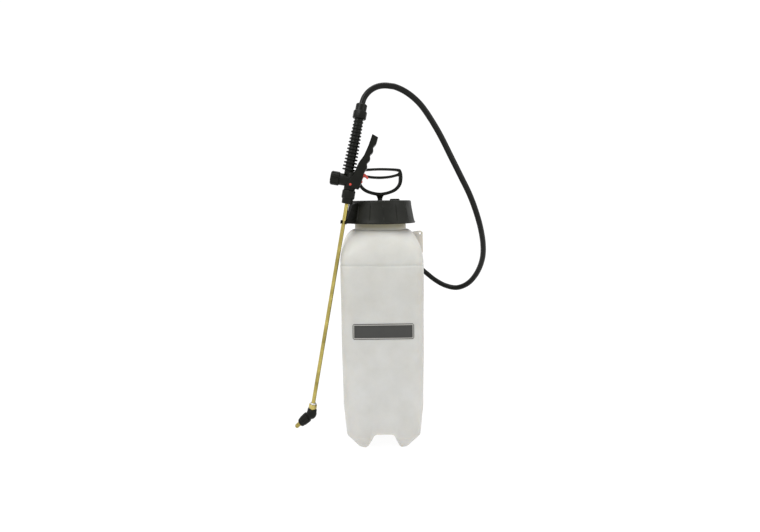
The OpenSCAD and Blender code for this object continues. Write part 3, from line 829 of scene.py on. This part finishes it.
def relief_knob_mesh():
    top, r = mm(RELIEF[1].z), 11
    outline = [(0, SEAT_Z + 1), (6.5, SEAT_Z + 1), (6.5, SEAT_Z + 3.4), (2.6, SEAT_Z + 3.4), (2.6, DECK_Z + 0.6),
               (r, DECK_Z + 0.6, 0), (r, DECK_Z + 1.2, 1), (r, top - 1.4, 1), (r - 1.6, top, 0), (0, top)]
    return lathe(eased(outline, 0.45, closed=False), RELIEF_AT, 240, ridges(20, 0.07), closed=False)


finished("relief_knob", relief_knob_mesh(), "relief_valve", "black_plastic", "relief_knob")
spring_low, spring_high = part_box("relief_spring")
relief_spring = finished(
    "relief_spring",
    coil(4.9, 0.5, mm(spring_low.z), mm(spring_high.z), 5.5, RELIEF_AT),
    body_of("relief_spring"),
    "spring_steel",
    "relief_spring",
    sharp=60,
)
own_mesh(relief_spring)

# ---------------------------------------------------------------- outlet
OUTLET = at(34, 0, 375) @ tilt(-90, "X")


def stepped_nut(low, mid, high, r_flat, r_nose, bore, place, nose_bore=6.3):
    """A twelve-sided nut with a round nose."""
    outline = [(r_flat - 1.6, low, 1), (r_flat, low + 1.4, 1), (r_flat, mid - 1.4, 1), (r_flat - 1.4, mid, 1),
               (r_nose, mid + 0.2, 0), (r_nose, high - 1.8), (r_nose - 1.6, high), (nose_bore, high),
               (nose_bore, high - 4), (bore, high - 4.5), (bore, low)]
    return lathe(eased(outline, 0.35), place, 120, facets(12))


outlet_nut = stepped_nut(89.5, 102.5, 112, 14, 11.5, 8.02, OUTLET)
finished("outlet_hose_nut", outlet_nut, "tank_unit", "black_plastic", "outlet_hose_nut", sharp=24)

# ---------------------------------------------------------------- handset
wand_axis = Vector(joints["elbow_swivel"]["axis"])
elbow_at = Vector(joints["elbow_swivel"]["pos_m"]) * 1000
ELBOW_Z, ELBOW_TURN = -433.5, 40
sideways = Vector((0, 1, 0)).cross(wand_axis).normalized()
HANDSET = at(*(elbow_at - wand_axis * ELBOW_Z)) @ Matrix(
    [[sideways[i], (0, 1, 0)[i], wand_axis[i], 0] for i in range(3)] + [[0, 0, 0, 1]]
)
GRIP = HANDSET @ at(-7, 0, 65) @ tilt(1.5)
VALVE_Z = 47.5
RIBS, RIB_PITCH = 15, 7.05


def valve(x):
    """Along -x of the handset from x on the valve's axis."""
    return HANDSET @ at(x, 0, VALVE_Z) @ tilt(-90)


def grip_mesh():
    core = 8.8
    outline = [(0, -6), (core, -6)]
    for i in range(RIBS):
        z, r = 3 + i * RIB_PITCH, 14.4 - 0.29 * i
        outline += [
            (core, z - 0.8), (r - 0.5, z - 0.2), (r, z + 0.5), (r, z + 2.0), (r - 0.6, z + 2.6), (core, z + 3.2),
        ]
    outline += [(core, 108), (core, 119), (4.6, 119), (4.6, 130), (0, 130)]
    return lathe(eased(outline, 0.5, closed=False, bits=2), GRIP, 72, closed=False)


def handset_mesh():
    stub = rod(9.9, 16, 30, HANDSET, 64)
    post_side = [(0, 28.2), (11.6, 28.2), (11.6, 62), (9.4, 66.2), (0, 66.2)]
    post = lathe(eased(post_side, 1.2, closed=False), HANDSET, 72, closed=False)
    barrel_side = [(0, 0), (10.4, 0), (11.6, 1.2), (11.6, 5.6), (12.3, 6.2), (12.3, 30.8), (0, 30.8)]
    barrel = lathe(eased(barrel_side, 0.7, closed=False), valve(8), 72, closed=False)
    bore = rod(5.5, 4, 34, valve(8), 40)
    stem = rod(2.3, -6, 6, valve(8))
    socket_side = [(0, 15), (4.02, 15), (4.02, 19), (3, 19), (3, VALVE_Z), (0, VALVE_Z)]
    socket = lathe(socket_side, HANDSET, 40, closed=False)
    drop = rod(3.6, -12, 134, GRIP, 40)
    return combined([grip_mesh(), post, stub, barrel], [bore, stem, socket, drop])


finished("handset_body", handset_mesh(), "handset", "black_plastic", "handset_body", sharp=34)
handset_nut = stepped_nut(109, 126, 140.4, 14, 11.5, 8.5, GRIP)
finished("handset_hose_nut", handset_nut, "handset", "black_plastic", "handset_hose_nut", sharp=24)


def wand_nut_mesh():
    outline = [
        (4.02, 0), (9.8, 0), (11.2, 1.4), (11.2, 10.2), (12.2, 10.4, 1), (13.5, 11.8, 1), (13.5, 26.6, 1),
        (12.2, 28, 1), (9.95, 28), (9.95, 10.4), (4.02, 10),
    ]
    return lathe(eased(outline, 0.35), HANDSET, 120, facets(12))


finished("wand_nut", wand_nut_mesh(), "handset", "black_plastic", "wand_nut", sharp=24)


def bonnet_mesh():
    r = 14.4
    outline = [
        (0, 5.5), (4.6, 5.5), (4.6, -4.8), (5.45, -4.8), (5.45, 0.1), (r - 1.4, 0.1, 1), (r, 1.4, 1), (r, 16.2, 1),
        (12, 18.6, 0.45), (7, 18.6), (6.4, 18), (0, 18),
    ]
    return lathe(eased(outline, 0.4, closed=False), valve(-23), 256, flutes(8, 15.2, 2.4, r), closed=False)


finished("bonnet", bonnet_mesh(), "handset", "black_plastic", "bonnet", sharp=34)

# The lever's outer edge with its finger grooves, and its inner edge, both from the heel up
LEVER_OUT = [
    (18, 32), (20, 36.5), (21.8, 46), (23.4, 55), (24.6, 68), (28.8, 78), (27.2, 87), (32, 95), (30.7, 104),
    (35.4, 112), (34.4, 121), (39, 129.5), (40.5, 142.3),
]
LEVER_IN = [
    (0, 34.5), (-4, 38), (-3.6, 45), (1, 54), (5, 62), (9.5, 83), (17.6, 100.5), (20.6, 111), (23.4, 122),
    (25.6, 134), (27.8, 147),
]
PIVOT_LINE = HANDSET @ at(1, 0, 39.5) @ tilt(90, "X")
LOCK_LINE = HANDSET @ at(21.2, 0, 49) @ tilt(90, "X")


def sampled(points, count):
    """count + 1 points, evenly spaced along a smooth line through the points."""
    line = flowing(points, closed=False, bits=10)
    lengths = [0.0]
    for a, b in zip(line, line[1:]):
        lengths.append(lengths[-1] + (b - a).length)
    out, i = [], 0
    for k in range(count + 1):
        goal = lengths[-1] * k / count
        while i < len(line) - 2 and lengths[i + 1] < goal:
            i += 1
        span = lengths[i + 1] - lengths[i] or 1
        out.append(line[i].lerp(line[i + 1], min(1, (goal - lengths[i]) / span)))
    return out


def lever_mesh():
    """A channel: an outer web with finger grooves, and two side plates down to the inner edge."""
    count, plate_t, web, r = 64, 2.4, 3.6, 2.2
    bm = bmesh.new()
    place = MILLI @ HANDSET
    rings = []
    for o, i in zip(sampled(LEVER_OUT, count), sampled(LEVER_IN, count)):
        along, span = (i - o).normalized(), (i - o).length
        z = o.y
        half = 16 - 3.6 * smooth((z - 66) / 76)
        gap = half - plate_t
        floor = web if z < 108 else web + (span - web - 1.2) * smooth((z - 108) / 12)
        section = [
            (0.0, half - r), (r * 0.3, half - r * 0.3), (r, half), (span - 1, half), (span, half - 0.8),
            (span, gap + 0.3), (span - 0.4, gap), (floor + 0.8, gap), (floor, gap - 0.8),
        ]
        section = section + [(s, -y) for s, y in reversed(section)]
        rings.append([bm.verts.new(place @ Vector((o.x + along.x * s, y, o.y + along.y * s))) for s, y in section])
    for a, b in zip(rings, rings[1:]):
        bridge(bm, a, b)
    bm.faces.new(rings[0][::-1])
    bm.faces.new(rings[-1])
    slot = brick((24, 8, 27), (20, 0, 56.5), HANDSET)
    holes = rod(2.56, -30, 30, PIVOT_LINE)
    cam_web = brick((2.8, 27.4, 8), (16.2, 0, VALVE_Z), HANDSET)
    ears = [brick((5.2, 3, 8), (19.4, side * 5.5, 49), HANDSET) for side in (-1, 1)]
    lever = combined([bm], [slot])
    return combined([lever, cam_web, *ears], [holes])


finished("lever", lever_mesh(), "lever", "black_plastic", "lever", sharp=36)


def pins_mesh():
    bm = bmesh.new()
    outline = eased([(0, -4), (2.48, -4), (2.48, 3.2), (1.7, 4), (0.9, 4), (0.7, 3.6), (0, 3.6)], 0.25, closed=False)
    for side in (-1, 1):
        place = HANDSET @ at(1, side * 12.9, 39.5) @ tilt(90 * -side, "X")
        lathe(outline, place, 40, closed=False, bm=bm)
    return bm


finished("lever_pins", pins_mesh(), body_of("lever_pins"), "red_plastic", "lever_pins")


def lock_mesh():
    turns = [math.radians(a) for a in range(150, 391, 20)]
    hub = [(21.2 + 3.2 * math.cos(t), 49 + 3.2 * math.sin(t)) for t in turns]
    tab = [
        (22.8, 52.4), (25, 59.2), (27.4, 59.6), (29.2, 58.4), (32.8, 55.8), (34.4, 57.2), (34.4, 59.4), (30.4, 63.6),
        (27, 66), (24.6, 66.6), (23, 65.6), (20.6, 57),
    ]
    body = plate([hub + tab], 7, HANDSET @ tilt(90, "X"), 0.7)
    bore = rod(1.56, -10, 10, LOCK_LINE)
    return combined([body], [bore])


finished("lever_lock", lock_mesh(), "lever_lock", "red_plastic", "lever_lock")
finished(
    "valve_spring",
    coil(3.9, 0.5, 0, 16.5, 7.5, valve(-8)),
    body_of("valve_spring"),
    "spring_steel",
    "valve_spring",
    sharp=60,
)

# ---------------------------------------------------------------- wand and nozzle
WAND_LEN, WAND_R, BALL_R = 412, 4, 10.4
NOZZLE = HANDSET @ at(0, 0, ELBOW_Z) @ tilt(180 + ELBOW_TURN)


def wand_mesh():
    low = -WAND_LEN - 4.5
    outline = [(WAND_R, low), (WAND_R, -200), (WAND_R, 18), (WAND_R - 0.9, 18), (WAND_R - 0.9, low)]
    return lathe(eased(outline, 0.2), HANDSET, 64)


def collar_mesh():
    low = -WAND_LEN - 10.5
    outline = [
        (3, low), (7.0, low, 0), (8.2, low + 1.1, 1), (8.2, low + 7.9, 1), (7.2, low + 9, 0), (4.01, low + 9),
        (4.01, low + 6), (3, low + 6),
    ]
    return lathe(eased(outline, 0.25), HANDSET, 96, facets(6))


def washer_mesh():
    low = -WAND_LEN - 1.5
    outline = [(4.01, low), (6.2, low), (6.6, low + 0.6), (6.2, low + 2.2), (5.2, low + 3), (4.01, low + 3)]
    return lathe(eased(outline, 0.3), HANDSET, 72)


def elbow_mesh():
    top = -WAND_LEN - 10.6
    middle = HANDSET @ at(0, 0, ELBOW_Z)
    upper_side = [
        (0, ELBOW_Z), (9.6, ELBOW_Z), (9.6, top - 2.8), (8.8, top - 2.4), (8.8, top - 1.2), (8.2, top), (0, top),
    ]
    upper = lathe(eased(upper_side, 0.4, closed=False), HANDSET, 64, closed=False)
    ball_side = [(BALL_R * math.sin(a), -BALL_R * math.cos(a)) for a in [math.pi * k / 28 for k in range(29)]]
    ball = lathe(ball_side, middle, 64, closed=False)
    neck = lathe([(0, 0), (8, 0), (8, 13.6), (7.6, 14), (0, 14)], NOZZLE, 64, closed=False)
    bore_a, bore_b = rod(2.5, 0, 20, middle), rod(2.5, 0, 20, NOZZLE)
    return combined([upper, ball, neck], [bore_a, bore_b])


def nozzle_nut_mesh():
    outline = [
        (8.05, 9), (9.2, 9), (9.9, 9.9), (10.3, 10.7, 1), (9.7, 22.6, 1), (8.7, 23.4), (8.4, 27.6), (7.4, 29.5),
        (4.4, 29.5), (4.4, 14.2), (8.05, 14.2),
    ]
    return lathe(eased(outline, 0.25), NOZZLE, 240, ridges(12, 0.1, 0.3))


def tip_mesh():
    outline = [
        (2, 15.9), (4.34, 15.9), (4.34, 35), (4.0, 35.6), (4.0, 36.8), (4.34, 37.4), (4.34, 39.4), (2.8, 41.8),
        (1.2, 41.8), (0.6, 41), (0.6, 36), (2, 36),
    ]
    return lathe(eased(outline, 0.2), NOZZLE, 64)


finished("wand_tube", wand_mesh(), "handset", "wand_brass", "wand_tube")
finished("wand_collar", collar_mesh(), "handset", "turned_brass", "wand_collar", sharp=24)
finished("collar_washer", washer_mesh(), "handset", "spring_steel", "collar_washer")
finished("nozzle_elbow", elbow_mesh(), "nozzle_elbow", "black_plastic", "nozzle_elbow", sharp=34)
finished("nozzle_nut", nozzle_nut_mesh(), "nozzle_cap", "black_plastic", "nozzle_nut", sharp=34)
finished("nozzle_tip", tip_mesh(), "nozzle_cap", "turned_brass", "nozzle_tip")

# ---------------------------------------------------------------- CAD nodes that keep their own shape
KEPT = {
    "grey_plastic": ["pump_barrel", "piston", "dip_strainer"],
    "seal_rubber": [
        "cap_gasket", "check_valve", "piston_cup", "relief_seal", "outlet_gasket", "plunger_oring", "stem_seal",
        "bonnet_oring", "wand_oring", "nozzle_gasket",
    ],
    "black_plastic": ["wand_clip", "rod_guide", "relief_body", "outlet_fitting"],
    "turned_brass": ["piston_nut", "valve_plunger"],
    "red_plastic": ["lock_pin"],
    "pipe_poly": ["dip_tube", "grip_strainer"],
}
for look, names in KEPT.items():
    for name in names:
        node = frame["nodes"][name]
        node.data.materials.clear()
        node.data.materials.append(looks[look])
        weld = node.modifiers.new("weld", "WELD")
        weld.merge_threshold = 5e-6
        edges = node.modifiers.new("edges", "BEVEL")
        edges.width = 0.0004 if name != "bonnet_oring" else 0.00004
        edges.segments, edges.limit_method, edges.angle_limit = 2, "ANGLE", math.radians(38)
        edges.use_clamp_overlap = True

# ---------------------------------------------------------------- stage and light
def stage_mesh():
    """A pale floor that curves up into a backdrop."""
    bm = bmesh.new()
    rows = [(-3.0, 0.0), (1.2, 0.0)]
    rows += [(1.2 + math.sin(t), 1.0 - math.cos(t)) for t in [math.radians(d) for d in range(10, 91, 10)]]
    rows.append((2.2, 4.5))
    pairs = [(bm.verts.new((-5, y, z)), bm.verts.new((5, y, z))) for y, z in rows]
    for (a, b), (c, d) in zip(pairs, pairs[1:]):
        bm.faces.new((a, b, d, c))
    mesh = bpy.data.meshes.new("backdrop")
    bm.to_mesh(mesh)
    bm.free()
    for polygon in mesh.polygons:
        polygon.use_smooth = True
    return mesh


backdrop = bpy.data.objects.new("backdrop", stage_mesh())
bpy.context.scene.collection.objects.link(backdrop)
paper = Look("backdrop_paper", 0.85)
paper.colour(paper.ramp(paper.noise(3, 3), [(0.3, (0.10, 0.10, 0.10)), (0.7, (0.12, 0.12, 0.12))]))
paper.shader.inputs["Emission Color"].default_value = (1, 1, 1, 1)
paper.shader.inputs["Emission Strength"].default_value = 0.9
backdrop.data.materials.append(paper.material)

world = bpy.data.worlds.new("studio")
world.use_nodes = True
world.node_tree.nodes["Background"].inputs["Color"].default_value = (1, 1, 1, 1)
world.node_tree.nodes["Background"].inputs["Strength"].default_value = 0.95
bpy.context.scene.world = world
bpy.context.scene.view_settings.view_transform = "Standard"


def softbox(name, place, aim, size, power):
    light = bpy.data.lights.new(name, "AREA")
    light.shape, light.size, light.size_y, light.energy = "RECTANGLE", size[0], size[1], power
    obj = bpy.data.objects.new(name, light)
    bpy.context.scene.collection.objects.link(obj)
    obj.location = place
    obj.rotation_euler = (Vector(aim) - Vector(place)).to_track_quat("-Z", "Y").to_euler()


softbox("key", (-1.1, -1.3, 1.7), (0, 0, 0.4), (1.0, 1.0), 18)
softbox("fill", (1.6, -1.2, 1.0), (0, 0, 0.4), (1.2, 1.4), 9)
softbox("top", (0, 0.1, 2.2), (0, 0, 0.3), (1.4, 1.4), 14)
